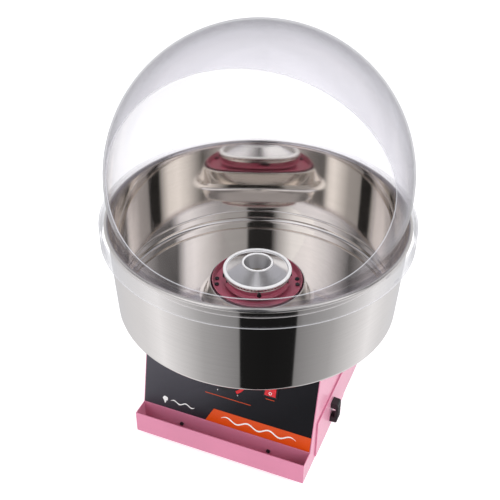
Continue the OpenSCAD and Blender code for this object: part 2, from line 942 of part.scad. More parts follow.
// L-shaped runners on the cabinet's floor, one along each side of the drawer
module drawer_rails() {
  x0 = x_side - sheet - drawer_l + 4;
  len = drawer_l - 8;
  color(steel)
    for (s = [-1, 1])
      translate([0, drawer_y, 0])
        mirror([0, s < 0 ? 1 : 0, 0]) {
          translate([x0, box_w / 2 - 14, z_box - gap - rail_t]) cube([len, 14 + gap, rail_t]);
          translate([x0, box_w / 2 + gap, z_floor + sheet]) cube([len, rail_t, z_box - z_floor + 16]);
        }
}

// ---- Bowl ----

// Section of the spun bowl, from the collar round the hub to the rolled rim
module bowl_section() {
  out = concat(
    [[hub_hole_r, z_collar], [hub_hole_r + 8, z_bowl + 10]],
    [[hub_hole_r + 12, z_bowl + 2.5], [hub_hole_r + 18, z_bowl]],
    arc(bowl_foot_r - 9, z_wall_foot, 9, -90, 0, 8),
    [[rim_r + roll_r, z_wall_top]]
  );
  in = concat(
    [[rim_r + roll_r - bowl_t, z_wall_top]],
    arc(bowl_foot_r - 9, z_wall_foot, 9 - bowl_t, 0, -90, 8),
    [[hub_hole_r + 18.2, z_bowl + bowl_t], [hub_hole_r + 12.9, z_bowl + 2.2 + bowl_t]],
    [[hub_hole_r + 9.1, z_bowl + 10.5], [hub_hole_r + bowl_t + 0.1, z_collar]]
  );
  polygon(concat(out, in));
}

module bowl() {
  color(steel) {
    rotate_extrude() bowl_section();
    rotate_extrude()
      translate([rim_r + roll_r, z_roll])
        difference() {
          circle(r = roll_r, $fn = 32);
          circle(r = roll_r - bowl_t, $fn = 32);
        }
    translate([0, 0, z_bowl + 22]) torus(bowl_foot_r - 2, bead_r);
    translate([0, 0, z_collar]) torus(hub_hole_r + 1.5, 1.5);
  }
}

// ---- Dome ----

// Side view of the opening's cut: an upright edge that sweeps forward at its foot
module opening_cut() {
  corner_y = opening_y + opening_r;
  corner_z = z_seat + opening_z + opening_r;
  translate([corner_y, corner_z]) circle(r = opening_r);
  translate([opening_y, corner_z]) square([400, 500]);
  translate([corner_y, z_seat + opening_z]) square([300, 500]);
}

module dome_shell() {
  difference() {
    translate([0, 0, z_dome]) sphere(r = dome_r, $fn = 128);
    translate([0, 0, z_dome]) sphere(r = dome_r - dome_t, $fn = 128);
    translate([-300, -300, z_seat - 400]) cube([600, 600, 400]);
    rotate([0, 0, dome_turn])
      translate([-300, 0, 0])
        rotate([90, 0, -90])
          translate([0, 0, -600])
            linear_extrude(600)
              opening_cut();
  }
}

module dome() {
  color([0.90, 0.92, 0.96, 0.35]) {
    dome_shell();
    translate([0, 0, z_seat]) ring(skirt_r, sphere_foot_r, dome_t);
    translate([0, 0, z_seat + dome_t - skirt_h]) ring(skirt_r, skirt_r - dome_t, skirt_h);
    translate([0, 0, z_seat - 8]) ring(rim_r - 3.5, rim_r - 6, 8 + eps);
  }
}

// Clear tabs inside the foot of the skirt
module dome_clips() {
  color([0.88, 0.90, 0.94, 0.6])
    for (a = dome_clip_angles)
      rotate([0, 0, a])
        translate([0, 0, z_seat + dome_t - skirt_h])
          intersection() {
            ring(skirt_r - dome_t, skirt_r - dome_t - 3, 2.4);
            translate([0, -7, -1]) cube([skirt_r, 14, 5]);
          }
}

chassis();
top_plate();
front_fascia();
control_overlay();
banner_label();
dial_scale();
front_tray();
tray_screws();
rear_cover();
rear_screws();
feet();
foot_screws();
top_screws();
bowl_pads();
hub_pedestal();
hub_dish();
dish_screws();
brush_holder();
carbon_brushes();
motor_bracket();
motor_bushes();
bracket_bolts();
bracket_nuts();
motor_can();
motor_stator();
motor_end_bells();
motor_screws();
shaft_bearings();
motor_shaft();
motor_rotor();
cooling_fan();
slip_ring_hub();
slip_rings();
head_cup();
heater_ring();
mesh_band();
head_rim();
head_cone();
sugar_funnel();
head_screws();
drive_nut();
switch_bezels();
power_rocker();
heat_rocker();
heat_knob();
heat_control();
control_board();
board_posts();
power_inlet();
inlet_screws();
drawer_box();
drawer_front();
drawer_handle();
handle_screws();
drawer_rails();
bowl();
dome();
dome_clips();
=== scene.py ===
"""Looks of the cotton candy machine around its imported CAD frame. Lengths are in metres."""

import json
import math

import bmesh
import bpy
from mathutils import Matrix, Vector


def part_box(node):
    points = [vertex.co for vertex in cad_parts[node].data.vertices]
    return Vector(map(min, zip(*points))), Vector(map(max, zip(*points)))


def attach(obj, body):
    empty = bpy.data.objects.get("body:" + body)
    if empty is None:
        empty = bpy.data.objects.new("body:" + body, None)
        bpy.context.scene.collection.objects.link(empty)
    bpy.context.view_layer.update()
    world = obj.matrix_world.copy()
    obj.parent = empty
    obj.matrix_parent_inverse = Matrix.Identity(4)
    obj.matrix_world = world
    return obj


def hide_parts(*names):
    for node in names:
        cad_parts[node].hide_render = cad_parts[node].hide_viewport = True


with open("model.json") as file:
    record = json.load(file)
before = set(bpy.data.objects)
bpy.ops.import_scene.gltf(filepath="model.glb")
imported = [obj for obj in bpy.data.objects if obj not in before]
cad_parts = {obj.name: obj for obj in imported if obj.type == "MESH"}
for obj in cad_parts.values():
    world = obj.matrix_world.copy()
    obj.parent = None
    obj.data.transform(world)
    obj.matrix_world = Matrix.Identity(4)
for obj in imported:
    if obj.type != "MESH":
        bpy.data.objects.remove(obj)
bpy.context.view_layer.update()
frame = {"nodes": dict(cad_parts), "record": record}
MM = 0.001
TURNS = 240  # steps round a large turned piece
SMALL_TURNS = 120  # steps round a small one

# ---- Camera ----

CAMERA_AZIMUTH = 21.92  # degrees to the right of the front
CAMERA_PITCH = 35.5
CAMERA_ROLL = 0.68
CAMERA_LENS = 63.07  # on a 36 mm sensor
CAMERA_DISTANCE = 1.5595
PIVOT_Z = 0.262
PIVOT_OFFSET = (0.01248, -0.06866)  # where the pivot lies off the middle of the view


def add_camera():
    """The camera, which looks down on the front from the right."""
    a, e, roll = (math.radians(v) for v in (CAMERA_AZIMUTH, CAMERA_PITCH, CAMERA_ROLL))
    back = Vector((math.sin(a) * math.cos(e), -math.cos(a) * math.cos(e), math.sin(e)))
    level = Vector((math.cos(a), math.sin(a), 0))
    rise = back.cross(level)
    right = level * math.cos(roll) + rise * math.sin(roll)
    up = rise * math.cos(roll) - level * math.sin(roll)
    camera = bpy.data.objects.new("camera", bpy.data.cameras.new("camera"))
    camera.data.lens = CAMERA_LENS
    camera.data.sensor_width = 36
    camera.data.clip_end = 50
    camera.matrix_world = Matrix((right, up, back)).transposed().to_4x4()
    camera.location = (
        Vector((0, 0, PIVOT_Z)) + back * CAMERA_DISTANCE - right * PIVOT_OFFSET[0] - up * PIVOT_OFFSET[1]
    )
    bpy.context.scene.collection.objects.link(camera)
    bpy.context.scene.camera = camera


# ---- Materials ----


class Look:
    """A material with one Principled shader, and short calls that add nodes in front of it."""

    def __init__(self, name, **values):
        self.material = bpy.data.materials.new(name)
        self.material.use_nodes = True
        self.tree = self.material.node_tree
        self.shader = self.tree.nodes["Principled BSDF"]
        self.output = self.tree.nodes["Material Output"]
        for socket, value in values.items():
            self.shader.inputs[socket.replace("_", " ")].default_value = value
        self.place = self.add("ShaderNodeTexCoord").outputs["Object"]

    def add(self, kind, links=(), **settings):
        """A new node. links pairs an input's name or number with a socket or a value."""
        node = self.tree.nodes.new(kind)
        for name, value in settings.items():
            setattr(node, name, value)
        for key, value in links:
            self.feed(node.inputs[key], value)
        return node

    def feed(self, socket, value):
        if isinstance(value, bpy.types.NodeSocket):
            self.tree.links.new(value, socket)
        else:
            socket.default_value = value

    def math(self, operation, a, b=0.0, clamp=False):
        node = self.add("ShaderNodeMath", [(0, a), (1, b)], operation=operation, use_clamp=clamp)
        return node.outputs[0]

    def stretched(self, stretch):
        """Object coordinates in metres, scaled by three factors."""
        return self.add("ShaderNodeMapping", [(0, self.place), (3, stretch)]).outputs[0]

    def noise(self, scale, detail=3.0, roughness=0.55, stretch=(1, 1, 1), vector=None):
        """A noise from 0 to 1. scale is in cycles a metre."""
        source = vector or self.stretched(stretch)
        links = [("Vector", source), ("Scale", scale), ("Detail", detail), ("Roughness", roughness)]
        return self.add("ShaderNodeTexNoise", links).outputs[0]

    def cells(self, scale, feature):
        links = [("Vector", self.place), ("Scale", scale)]
        return self.add("ShaderNodeTexVoronoi", links, feature=feature).outputs["Distance"]

    def spread(self, value, low, high, frm=0.3, to=0.7):
        """Maps value from frm..to on low..high."""
        links = [(0, value), (1, frm), (2, to), (3, low), (4, high)]
        return self.add("ShaderNodeMapRange", links).outputs[0]

    def ramp(self, factor, stops):
        """A colour ramp. stops are (place, colour) pairs."""
        node = self.add("ShaderNodeValToRGB", [(0, factor)])
        elements = node.color_ramp.elements
        while len(elements) < len(stops):
            elements.new(0.5)
        for element, (place, colour) in zip(elements, stops):
            element.position = place
            element.color = (*colour, 1)
        return node.outputs[0]

    def bump(self, height, depth, strength=1.0):
        """Bump from a 0 to 1 height that is depth metres high."""
        links = [("Height", height), ("Distance", depth), ("Strength", strength)]
        return self.add("ShaderNodeBump", links).outputs[0]

    def use(self, **sockets):
        """Feeds the shader's inputs from nodes."""
        for name, socket in sockets.items():
            self.feed(self.shader.inputs[name.replace("_", " ")], socket)
        return self


def shade(colour, factor):
    return tuple(min(c * factor, 1) for c in colour)


def powder_coat(name, colour, gloss=0.3, bloom=0.35):
    """Baked powder coat: slight orange peel, faint drift in colour."""
    look = Look(name, IOR=1.5, Coat_Weight=0.35, Coat_Roughness=0.12, Sheen_Weight=bloom, Sheen_Roughness=0.35)
    drift = look.noise(9, 2)
    peel = look.noise(900, 2, 0.5)
    speckle = look.noise(3200, 1)
    look.use(
        Base_Color=look.ramp(drift, [(0.3, shade(colour, 0.965)), (0.7, shade(colour, 1.035))]),
        Roughness=look.spread(speckle, gloss - 0.03, gloss + 0.06),
        Normal=look.bump(peel, 0.00006, 0.5),
    )
    return look


def film_with_painted_reflection(name, colours, axis_stretch, start, gloss=0.28):
    """Printed plastic film with a fine grain and a faint random drift, whose tone slopes across the panel along
    axis_stretch: a painted reflection.
    """
    look = Look(name, IOR=1.38)
    across = look.add("ShaderNodeSeparateXYZ", [(0, look.stretched(axis_stretch))])
    # The slope across the panel is painted reflection, not print.
    slope = look.math("ADD", across.outputs[0], across.outputs[2])
    grain = look.noise(2600, 2)
    wave = look.noise(6, 1)
    tone = look.math("ADD", slope, look.spread(wave, start - 0.03, start + 0.03))
    look.use(
        Base_Color=look.ramp(tone, colours),
        Roughness=look.spread(grain, gloss - 0.04, gloss + 0.05),
        Normal=look.bump(grain, 0.00002, 0.4),
    )
    return look


def printed_ink(name, colour, gloss=0.3):
    look = Look(name, IOR=1.46)
    grain = look.noise(2600, 2)
    look.use(
        Base_Color=look.ramp(grain, [(0.3, shade(colour, 0.93)), (0.7, shade(colour, 1.05))]),
        Roughness=look.spread(grain, gloss - 0.04, gloss + 0.05),
        Normal=look.bump(grain, 0.00002, 0.3),
    )
    return look


LINES_PER_M = 700.0  # of the spun finish, across its lines


def spun_steel(name, colour, roughness, anisotropy, line_depth, metallic=1.0):
    """Steel finished while it turns: fine lines run round the axis, as the mesh's "along" says."""
    look = Look(name, Metallic=metallic, Anisotropic=anisotropy)
    along = look.add("ShaderNodeAttribute", attribute_name="along").outputs["Fac"]
    around = look.add("ShaderNodeSeparateXYZ", [(0, look.place)])
    place = look.add(
        "ShaderNodeCombineXYZ",
        [
            (0, look.math("MULTIPLY", around.outputs[0], 6.0)),
            (1, look.math("MULTIPLY", around.outputs[1], 6.0)),
            (2, look.math("MULTIPLY", along, LINES_PER_M)),
        ],
    ).outputs[0]
    lines = look.noise(1, 3, 0.6, vector=place)
    cloud = look.noise(14, 2)
    look.use(
        Base_Color=look.ramp(lines, [(0.25, shade(colour, 0.96)), (0.75, shade(colour, 1.03))]),
        Roughness=look.spread(cloud, roughness * 0.85, roughness * 1.15),
        Normal=look.bump(lines, line_depth, 0.6),
        Tangent=look.add("ShaderNodeTangent", direction_type="RADIAL", axis="Z").outputs[0],
    )
    return look


def sheet_metal(name, colour, roughness, stretch=(1, 1, 60), metallic=1.0, depth=0.00002):
    """Rolled or turned metal: fine streaks along one direction, faint stains."""
    look = Look(name, Metallic=metallic)
    streaks = look.noise(60, 3, 0.6, stretch=stretch)
    stains = look.noise(22, 3)
    look.use(
        Base_Color=look.ramp(stains, [(0.25, shade(colour, 0.9)), (0.75, shade(colour, 1.04))]),
        Roughness=look.spread(streaks, roughness - 0.07, roughness + 0.09),
        Normal=look.bump(streaks, depth, 0.6),
    )
    return look


def moulded(name, colour, roughness, grain=1400, depth=0.00004, **values):
    """Moulded plastic or rubber with a spark-eroded grain."""
    look = Look(name, **values)
    skin = look.noise(grain, 2)
    drift = look.noise(30, 2)
    look.use(
        Base_Color=look.ramp(drift, [(0.3, shade(colour, 0.9)), (0.7, shade(colour, 1.1))]),
        Roughness=look.spread(skin, roughness - 0.05, roughness + 0.08),
        Normal=look.bump(skin, depth, 0.5),
    )
    return look


def wound_copper():
    """Stator: varnished winding wire, seen as fine turns."""
    look = Look("copper_winding", Metallic=0.7, Coat_Weight=0.4, Coat_Roughness=0.2)
    turns = look.noise(400, 2, stretch=(0.15, 0.15, 1.6))
    look.use(
        Base_Color=look.ramp(turns, [(0.3, (0.30, 0.11, 0.04)), (0.7, (0.66, 0.30, 0.12))]),
        Roughness=look.spread(turns, 0.3, 0.5),
        Normal=look.bump(turns, 0.0002, 0.8),
    )
    return look


def circuit():
    """Lacquered board with faint tracks."""
    look = Look("circuit_green", Coat_Weight=0.5, Coat_Roughness=0.15)
    tracks = look.cells(90, "DISTANCE_TO_EDGE")
    look.use(
        Base_Color=look.ramp(tracks, [(0.03, (0.05, 0.22, 0.10)), (0.09, (0.02, 0.12, 0.05))]),
        Roughness=look.spread(look.noise(300, 2), 0.3, 0.45),
        Normal=look.bump(tracks, 0.00005, 0.3),
    )
    return look


# What one face of the clear sheet lets through, by how edge-on it is seen
SHEET_TINT = [(0.04, 1.0), (0.17, 0.96), (0.35, 0.92), (0.60, 0.895), (0.97, 0.84)]


def clear_acrylic(name):
    """Thin clear sheet: it mirrors by Fresnel, lets the rest through, and greys towards its edge-on parts.

    Where the mesh's "rim" is 1 the sheet's polished edge gets a faint emission, a painted highlight that is
    brighter on the skirt, and where "skirt" is 1 it doesn't grey."""
    look = Look(name, Metallic=1.0)
    haze = look.noise(6, 2)
    look.use(
        Base_Color=look.ramp(haze, [(0.3, (0.93, 0.93, 0.95)), (0.7, (0.98, 0.98, 0.99))]),
        Roughness=look.spread(haze, 0.03, 0.07),
    )
    facing = look.add("ShaderNodeLayerWeight", [("Blend", 0.5)]).outputs["Facing"]
    skirt = look.add("ShaderNodeAttribute", attribute_name="skirt").outputs["Fac"]
    stops = [(place, (level, level * 0.995, min(level * 1.012, 1))) for place, level in SHEET_TINT]
    clear = look.ramp(facing, stops)
    light = look.add("ShaderNodeMix", [(0, skirt), (6, clear), (7, (1, 1, 1, 1))], data_type="RGBA").outputs[2]
    through = look.add("ShaderNodeBsdfTransparent", [("Color", light)])
    grazing = look.math("MULTIPLY", look.math("POWER", facing, 5.0), 0.9)
    stronger = look.math("ADD", look.math("MULTIPLY", skirt, 0.8), 1.0)
    mirror = look.math("MULTIPLY", look.math("ADD", grazing, 0.035), stronger, True)
    sheet = look.add("ShaderNodeMixShader", [(0, mirror), (1, through.outputs[0]), (2, look.shader.outputs[0])])
    # Opaque grey edge with a faint emission: painted glow on the polished edges, stronger where skirt is 1.
    edge = look.add(
        "ShaderNodeBsdfPrincipled",
        [("Base Color", (0.62, 0.62, 0.66, 1)), ("Roughness", 0.25), ("Emission Color", (0.9, 0.9, 0.95, 1))],
    )
    look.feed(edge.inputs["Emission Strength"], look.math("ADD", look.math("MULTIPLY", skirt, 0.5), 0.05))
    rim = look.add("ShaderNodeAttribute", attribute_name="rim").outputs["Fac"]
    painted_glow = look.math("MULTIPLY", rim, 0.62)
    whole = look.add("ShaderNodeMixShader", [(0, painted_glow), (1, sheet.outputs[0]), (2, edge.outputs[0])])
    look.tree.links.new(whole.outputs[0], look.output.inputs["Surface"])
    return look


PINK = (0.65, 0.215, 0.34)
STEEL = (0.90, 0.865, 0.83)
# Film tones along the slope: the spread from light to dark is painted reflection, lighter at the panel's upper
# left and darker to its lower right.
DARK_FILM_PAINTED_REFLECTION = [
    (0.0, (0.082, 0.078, 0.094)),
    (0.30, (0.046, 0.044, 0.055)),
    (0.42, (0.022, 0.021, 0.027)),
    (0.52, (0.009, 0.0085, 0.012)),
    (0.70, (0.004, 0.0038, 0.006)),
]
LOOKS = {
    "pink_paint": powder_coat("pink_paint", PINK),
    "graphite_film": film_with_painted_reflection("graphite_film", DARK_FILM_PAINTED_REFLECTION, (2.2, 1, -2.5), 0.72),
    "orange_film": printed_ink("orange_film", (0.67, 0.066, 0.002)),
    "red_print": printed_ink("red_print", (0.70, 0.016, 0.022)),
    "white_print": printed_ink("white_print", (0.86, 0.86, 0.86)),
    "zinc_screw": sheet_metal("zinc_screw", (0.66, 0.66, 0.67), 0.28, (1, 1, 8)),
    "black_screw": sheet_metal("black_screw", (0.045, 0.043, 0.05), 0.32, (1, 1, 8), 0.6),
    "rubber_black": moulded("rubber_black", (0.022, 0.022, 0.023), 0.72, 900, 0.00008),
    "stainless": spun_steel("stainless", STEEL, 0.055, 0.35, 0.0000012),
    "polished_steel": spun_steel("polished_steel", (0.88, 0.87, 0.86), 0.07, 0.3, 0.0000015),
    "satin_steel": spun_steel("satin_steel", (0.70, 0.695, 0.70), 0.36, 0.2, 0.000002),
    "wedge_steel": spun_steel("wedge_steel", (0.86, 0.855, 0.86), 0.16, 0.8, 0.000003),
    # Polished ring steel made near-white and mostly diffuse: painted highlight.
    "steel_painted_highlight": spun_steel("steel_painted_highlight", (0.97, 0.97, 0.98), 0.25, 0.0, 0.000001, 0.3),
    # The pink paint made darker for the dish down in the bowl: painted shade.
    "dish_painted_shade": powder_coat("dish_painted_shade", (0.40, 0.085, 0.135), 0.22),
    "bare_steel": sheet_metal("bare_steel", (0.50, 0.51, 0.53), 0.36),
    "cast_alloy": sheet_metal("cast_alloy", (0.62, 0.63, 0.65), 0.45, (1, 1, 1), depth=0.0001),
    "copper_winding": wound_copper(),
    "bakelite": moulded("bakelite", (0.045, 0.022, 0.012), 0.42),
    "carbon": moulded("carbon", (0.02, 0.02, 0.022), 0.6, 1800),
    "brass": sheet_metal("brass", (0.82, 0.58, 0.24), 0.24, (1, 1, 20)),
    "black_plastic": moulded("black_plastic", (0.014, 0.014, 0.016), 0.36),
    "red_plastic": moulded("red_plastic", (0.68, 0.018, 0.028), 0.24, Coat_Weight=0.3, Coat_Roughness=0.08),
    "grey_plastic": moulded("grey_plastic", (0.10, 0.105, 0.115), 0.45),
    "circuit_green": circuit(),
    "heater_alloy": sheet_metal("heater_alloy", (0.36, 0.22, 0.16), 0.5, (1, 1, 4)),
    "clear_acrylic": clear_acrylic("clear_acrylic"),
}


def paint(obj, look):
    """Puts one look on all of an object's slots."""
    material = LOOKS[look].material
    if not obj.material_slots:
        obj.data.materials.append(material)
    for slot in obj.material_slots:
        slot.material = material


# ---- Mesh helpers ----


def new_piece(name, mesh_builder, look, body, slot, *replaced):
    """Makes a piece from a finished bmesh, paints it and lets it ride on a CAD body."""
    mesh = bpy.data.meshes.new(name)
    mesh_builder.to_mesh(mesh)
    mesh_builder.free()
    piece = bpy.data.objects.new(name, mesh)
    bpy.context.scene.collection.objects.link(piece)
    paint(piece, look)
    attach(piece, body)
    if replaced:
        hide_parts(*replaced)
    return piece


def fillet(points, steps=6):
    """Rounds the corners of a closed outline. A point is (x, y) or (x, y, radius)."""
    outline = []
    for i, point in enumerate(points):
        here = Vector(point[:2])
        if len(point) < 3:
            outline.append(here)
            continue
        before = Vector(points[i - 1][:2]) - here
        after = Vector(points[(i + 1) % len(points)][:2]) - here
        half = before.angle(after) / 2
        reach = min(point[2] / math.tan(half), before.length * 0.49, after.length * 0.49)
        radius = reach * math.tan(half)
        start = here + before.normalized() * reach
        end = here + after.normalized() * reach
        centre = here + (before.normalized() + after.normalized()).normalized() * radius / math.sin(half)
        first, last = start - centre, end - centre
        swing = first.angle_signed(last)
        for k in range(steps + 1):
            outline.append(centre + Matrix.Rotation(-swing * k / steps, 2) @ first)
    return outline


def arc(cx, cy, radius, start, end, steps):
    """Points of an arc, with its angles in degrees."""
    angles = [math.radians(start + (end - start) * k / steps) for k in range(steps + 1)]
    return [(cx + radius * math.cos(a), cy + radius * math.sin(a)) for a in angles]


def held(outline, reach=0.4 * MM):
    """Adds a point next to each end of a long straight run, so that smooth shading leaves it straight."""
    points = []
    for i, point in enumerate(outline):
        here, after = Vector(point), Vector(outline[(i + 1) % len(outline)])
        points.append(here)
        if (after - here).length > 6 * reach:
            step = (after - here).normalized() * reach
            points += [here + step, after - step]
    return points


def lathe(outline, turns=SMALL_TURNS):
    """Turns a closed outline of (radius, height) points about the machine's axis."""
    bm = bmesh.new()
    along = bm.verts.layers.float.new("along")
    rings, run, last = [], 0.0, None
    for r, z in held(outline):
        run += (Vector((r, z)) - last).length if last is not None else 0.0
        last = Vector((r, z))
        count = 1 if r < 1e-6 else turns
        ring = []
        for k in range(count):
            a = math.tau * k / turns
            vert = bm.verts.new((r * math.cos(a), r * math.sin(a), z))
            vert[along] = run
            ring.append(vert)
        rings.append(ring)
    for i, ring in enumerate(rings):
        after = rings[(i + 1) % len(rings)]
        if len(ring) == 1 and len(after) == 1:
            continue
        for k in range(turns):
            m = (k + 1) % turns
            corners = [ring[k % len(ring)], ring[m % len(ring)], after[m % len(after)], after[k % len(after)]]
            bm.faces.new(list(dict.fromkeys(corners)))
    finish_mesh(bm)
    return bm


def finish_mesh(bm, sharp=math.radians(32)):
    """Outward normals, smooth faces, and sharp edges where two faces meet steeply."""
    bmesh.ops.recalc_face_normals(bm, faces=bm.faces)
    for face in bm.faces:
        face.smooth = True
    for edge in bm.edges:
        edge.smooth = edge.is_manifold and edge.calc_face_angle(0) < sharp


# ---- Sizes from the frame ----

pan_low, pan_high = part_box("bowl")
dish_low, dish_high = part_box("hub_dish")
cover_low, cover_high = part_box("dome")
rim_low, rim_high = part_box("head_rim")
cup_low, cup_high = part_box("head_cup")
cone_low, cone_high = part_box("head_cone")
funnel_low, funnel_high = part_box("sugar_funnel")

BOWL_T = 1.2 * MM
ROLL_R = 4 * MM
BOWL_FOOT_R = 244 * MM
BEAD_R = 2.5 * MM
FOOT_FILLET = 9 * MM


def bowl_outline():
    """Section of the spun bowl: collar, floor, bead, wall and rolled rim."""
    z0, z1 = pan_low.z, pan_high.z
    roll_x = pan_high.x - ROLL_R  # the wall's outer face ends under the middle of the roll
    hole = dish_high.x + 2 * MM
    roll_z = z1 - ROLL_R
    wall_top = roll_z - ROLL_R - 0.3 * MM
    lean = (roll_x - BOWL_FOOT_R) / (wall_top - z0 - FOOT_FILLET)
    bead_z = z0 + 22 * MM
    bead_wall = BOWL_FOOT_R - BOWL_T + (bead_z - z0 - FOOT_FILLET) * lean
    outside = [
        (hole - 0.1 * MM, z0 + 35 * MM),
        (hole + 8 * MM, z0 + 10 * MM, 10 * MM),
        (hole + 12 * MM, z0 + 2.5 * MM, 6 * MM),
        (hole + 18 * MM, z0, 15 * MM),
        (BOWL_FOOT_R, z0, FOOT_FILLET),
        (roll_x, wall_top),
    ]
    roll = arc(roll_x, roll_z, ROLL_R, -84, 250, 34)
    bead = [(roll_x - BOWL_T, wall_top)] + arc(bead_wall - 0.3 * MM, bead_z, BEAD_R, 100, 260, 16)
    inside = [
        (BOWL_FOOT_R - BOWL_T, z0 + BOWL_T, FOOT_FILLET - BOWL_T),
        (hole + 18.2 * MM, z0 + BOWL_T, 15 * MM),
        (hole + 12.9 * MM, z0 + 2.2 * MM + BOWL_T, 6 * MM),
        (hole + 9.1 * MM, z0 + 10.5 * MM, 10 * MM),
        (hole + 3 * MM, z0 + 34 * MM),
    ]
    lip = arc(hole + 1.5 * MM, z0 + 35 * MM, 1.5 * MM, -20, 200, 10)
    return fillet(outside + roll + bead + inside + lip, 10)


def make_bowl():
    new_piece("bowl_shell", lathe(bowl_outline(), TURNS), "stainless", "pan", "stainless", "bowl")


def make_hub_dish():
    """Painted dish with a turned-up wall and a soft lip."""
    z0, z1 = dish_low.z, dish_high.z
    rim, floor = dish_high.x, dish_high.x - 3.5 * MM
    t = 1.5 * MM
    outline = [
        (11 * MM, z0, 0.4 * MM),
        (floor, z0, 2 * MM),
        (rim, z0 + 9 * MM, 3 * MM),
        (rim, z1, 0.7 * MM),
        (rim - t, z1, 0.7 * MM),
        (rim - t, z0 + 9 * MM, 3 * MM),
        (floor - t, z0 + t, 1.2 * MM),
        (11 * MM, z0 + t, 0.4 * MM),
    ]
    # The dish wears the darker copy of the pink paint: painted shade.
    new_piece("hub_dish_shell", lathe(fillet(outline), TURNS), "dish_painted_shade", "base", "pink_paint", "hub_dish")


def make_head():
    """Turned parts of the spinner head."""
    body = "spinner"
    outer = cup_high.x
    z0, z1 = cup_low.z, cup_high.z
    t = 1.5 * MM
    cup = [
        (4.05 * MM, z0, 0.3 * MM),
        (outer, z0, 4 * MM),
        (outer, z1, 0.5 * MM),
        (outer - t, z1, 0.5 * MM),
        (outer - t, z0 + 3 * MM, 2.5 * MM),
        (4.05 * MM, z0 + 3 * MM, 0.3 * MM),
    ]
    new_piece("spinner_cup", lathe(fillet(cup)), "polished_steel", body, "stainless", "head_cup")
    head_r = rim_high.x
    zr = rim_high.z - 2.4 * MM
    ring = [(head_r - 6 * MM, zr + 2.4 * MM, 0.8 * MM), (head_r - 6 * MM, zr - 2 * MM, 0.5 * MM)]
    ring += arc(head_r - 2 * MM, zr, 2 * MM, -90, 90, 14)
    # The rim's near-white steel is a painted highlight.
    new_piece("spinner_rim", lathe(fillet(ring, 4)), "steel_painted_highlight", body, "stainless", "head_rim")
    low, high = cone_low.z, cone_high.z
    inner = funnel_high.x
    cone = [
        (head_r - 6 * MM, low, 0.3 * MM),
        (head_r - 6 * MM, low + 1.6 * MM, 0.5 * MM),
        (inner, high, 0.5 * MM),
        (inner, high - 1.8 * MM, 0.3 * MM),
    ]
    new_piece("spinner_cone", lathe(fillet(cone)), "wedge_steel", body, "stainless", "head_cone")
    top, foot = funnel_high.z, funnel_low.z
    lip_r = inner - 2 * MM
    lip = arc(lip_r, top - 2 * MM, 2 * MM, 0, 360, 28)[:-1]
    # The lip's near-white steel is a painted highlight.
    new_piece("funnel_lip", lathe(lip), "steel_painted_highlight", body, "stainless", "sugar_funnel")
    funnel = [
        (lip_r + 0.6 * MM, top - 3 * MM),
        (lip_r - 1.2 * MM, top - 3 * MM),
        (14 * MM, foot + 8 * MM, 4 * MM),
        (14 * MM, foot, 0.3 * MM),
        (15.2 * MM, foot, 0.3 * MM),
        (15.2 * MM, foot + 7.6 * MM, 4 * MM),
    ]
    new_piece("funnel_liner", lathe(fillet(funnel)), "satin_steel", body, "stainless", "sugar_funnel")


# ---- Dome ----

SHEET_T = 3 * MM
DOME_RISE = 69 * MM  # the sphere's centre above the seat
SEAT_GAP = 0.2 * MM
DOME_TURN = 12.5  # degrees that the opening faces to the right
OPENING_Y = 97 * MM
OPENING_Z = 6 * MM
OPENING_R = 168 * MM
DOME_COLUMNS = 220


def dome_rows():
    """Rows of the clear shell from the skirt's foot up: (radius, height, outward normal, half angle)."""
    seat = pan_high.z + SEAT_GAP
    centre = seat + DOME_RISE
    sphere = cover_high.z - centre
    ledge = seat + SHEET_T
    skirt = cover_high.x
    corner_y, corner_z = OPENING_Y + OPENING_R, seat + OPENING_Z + OPENING_R

    def edge_y(z):
        if z >= corner_z:
            return OPENING_Y
        if z <= corner_z - OPENING_R:
            return corner_y
        return corner_y - math.sqrt(OPENING_R**2 - (z - corner_z) ** 2)

    def half_angle(z):
        r = math.sqrt(max(sphere**2 - (z - centre) ** 2, 0))
        y = edge_y(z)
        return math.acos(y / r) if r > y else 0.0

    low, high = corner_z - OPENING_R, corner_z
    for _ in range(50):
        middle = (low + high) / 2
        low, high = (middle, high) if half_angle(middle) == 0 else (low, middle)
    foot, top = low, centre + math.sqrt(sphere**2 - OPENING_Y**2)

    rows = []
    corner, neck = 3 * MM, 1.5 * MM
    rows += [(skirt, cover_low.z + 0.4 * MM + (ledge - corner - cover_low.z) * k / 4, 0) for k in range(5)][:-1]
    rows += [(skirt - corner + corner * math.cos(a), ledge - corner + corner * math.sin(a), a)
             for a in (math.radians(15 * k) for k in range(7))]
    start = math.asin((ledge + neck - centre) / (sphere + neck))
    neck_r = (sphere + neck) * math.cos(start)
    rows += [(neck_r + (skirt - corner - neck_r) * k / 6, ledge, math.pi / 2) for k in range(5, 0, -1)]
    turn = math.pi / 2 - start
    rows += [(neck_r - neck * math.sin(turn * k / 8), ledge + neck - neck * math.cos(turn * k / 8),
              math.pi / 2 - turn * k / 8) for k in range(9)]
    shell_low = centre + sphere * math.sin(start)
    shell = [shell_low + (foot - shell_low) * k / 8 for k in range(1, 9)]
    shell += [foot + (top - foot) * (1 - math.cos(math.pi * k / 110)) / 2 for k in range(1, 111)]
    last = math.asin((top - centre) / sphere)
    angles = [math.asin(max(-1, min(1, (z - centre) / sphere))) for z in shell]
    angles += [last + (math.pi / 2 - last) * k / 14 for k in range(1, 15)]
    done = [(r, z, n, 0.0) for r, z, n in rows]
    for a in angles:
        z = centre + sphere * math.sin(a)
        inside = foot + 1e-7 < z < top - 1e-7
        done.append((sphere * math.cos(a), z, a, half_angle(z) if inside else 0.0))
    return done


